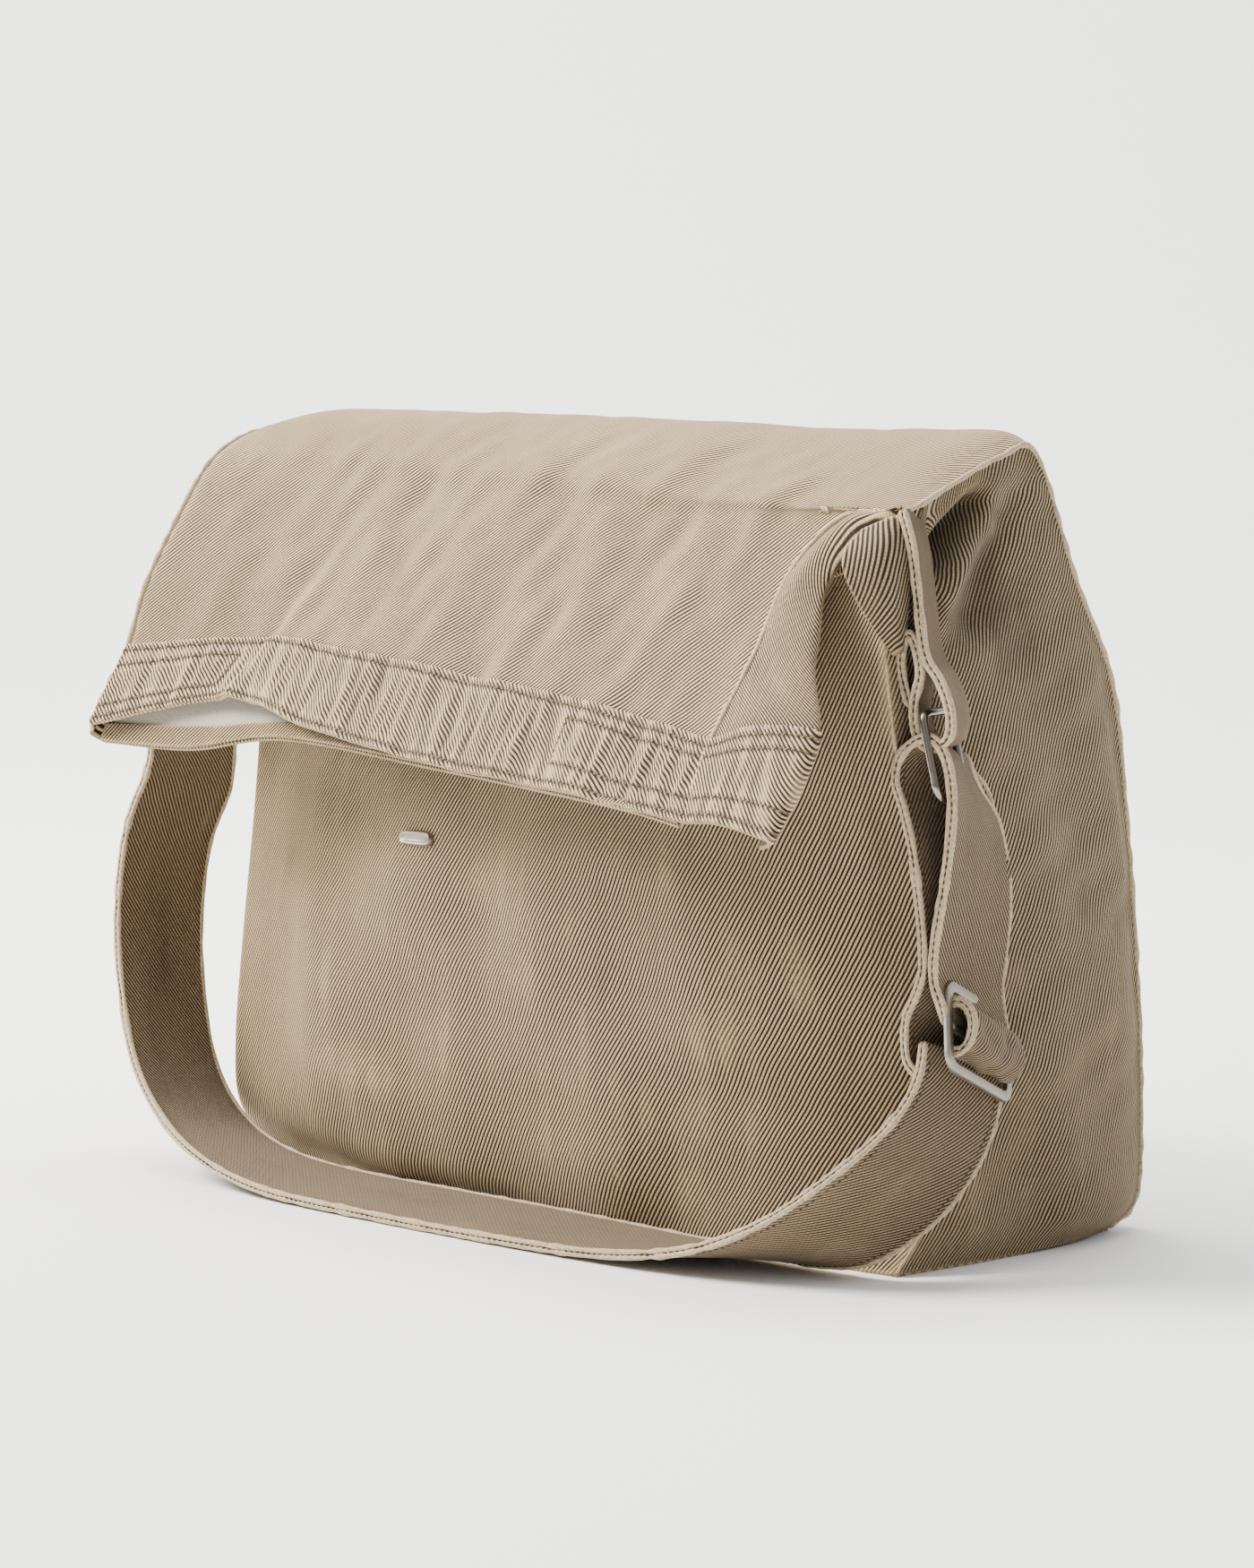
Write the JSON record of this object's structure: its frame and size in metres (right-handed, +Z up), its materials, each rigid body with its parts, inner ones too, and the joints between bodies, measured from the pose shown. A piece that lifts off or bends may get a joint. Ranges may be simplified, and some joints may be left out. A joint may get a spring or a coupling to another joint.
{
  "type": "fold-over messenger bag",
  "caption": "Soft cloth messenger bag whose mouth folds over its front as a flap, with a long shoulder strap on rings and a sliding adjuster.",
  "frame": {"origin": "middle of the base, on the surface that the bag stands on", "axes": "+X to the wearer's right along the width as seen from the front, +Y to the back, +Z up; the flap hangs towards -Y"},
  "size_m": [0.4816, 0.2264, 0.335],
  "materials": {
    "bag_denim": "washed right-hand twill",
    "band_denim": "washed twill with topstitching",
    "strap_denim": "doubled twill with worn edges",
    "lining_cotton": "fine ribbed cotton",
    "satin_nickel": "satin",
    "polished_nickel": "polished"
  },
  "bodies": {
    "bag": {"front_panel": "bag_denim", "back_panel": "bag_denim", "top_panel": "bag_denim", "gusset_left": "bag_denim", "gusset_right": "bag_denim", "bottom_panel": "bag_denim", "lining_front": "lining_cotton", "lining_back": "lining_cotton", "lining_left": "lining_cotton", "lining_right": "lining_cotton", "lining_bottom": "lining_cotton", "stud_cap": "satin_nickel", "stud_post": "satin_nickel", "stud_washer": "satin_nickel"},
    "flap": {"flap_outer_panel": "bag_denim", "flap_inner_panel": "bag_denim", "flap_gusset_left": "bag_denim", "flap_gusset_right": "bag_denim", "flap_lining_outer": "lining_cotton", "flap_lining_inner": "lining_cotton", "hem_band_outer": "band_denim", "hem_band_inner": "band_denim"},
    "strap": {"tab_left": "strap_denim", "tab_right": "strap_denim", "strap_run": "strap_denim", "strap_inner_leg": "strap_denim", "strap_ring_loop": "strap_denim", "strap_outer_leg": "strap_denim"},
    "ring_right": {"ring_right": "polished_nickel"},
    "ring_left": {"ring_left": "polished_nickel"},
    "slider": {"slider_frame": "satin_nickel", "slider_bar": "satin_nickel", "strap_end_loop": "strap_denim", "strap_roll": "strap_denim"}
  },
  "joints": [
    {"name": "flap_fold", "type": "hinge", "parent": "bag", "child": "flap", "pos_m": [0, -0.072, 0.304], "axis": [-1, 0, 0], "range_deg": [0, 147]},
    {"name": "strap_swing", "type": "hinge", "parent": "bag", "child": "strap", "pos_m": [0, -0.072, 0.304], "axis": [-1, 0, 0], "range_deg": [0, 165]},
    {"name": "ring_right_turn", "type": "hinge", "parent": "strap", "child": "ring_right", "pos_m": [0.2145, -0.0635, 0.225], "axis": [0, 1, 0], "range_deg": [-12, 5]},
    {"name": "ring_left_turn", "type": "hinge", "parent": "strap", "child": "ring_left", "pos_m": [-0.2145, -0.08286, 0.22529], "axis": [0, 0.9703, -0.2419], "range_deg": [-4, 12]},
    {"name": "slider_slide", "type": "slide", "parent": "strap", "child": "slider", "axis": [0, 0, 1], "range_m": [0, 0.05], "deforming": ["strap_inner_leg", "strap_outer_leg"]}
  ]
}
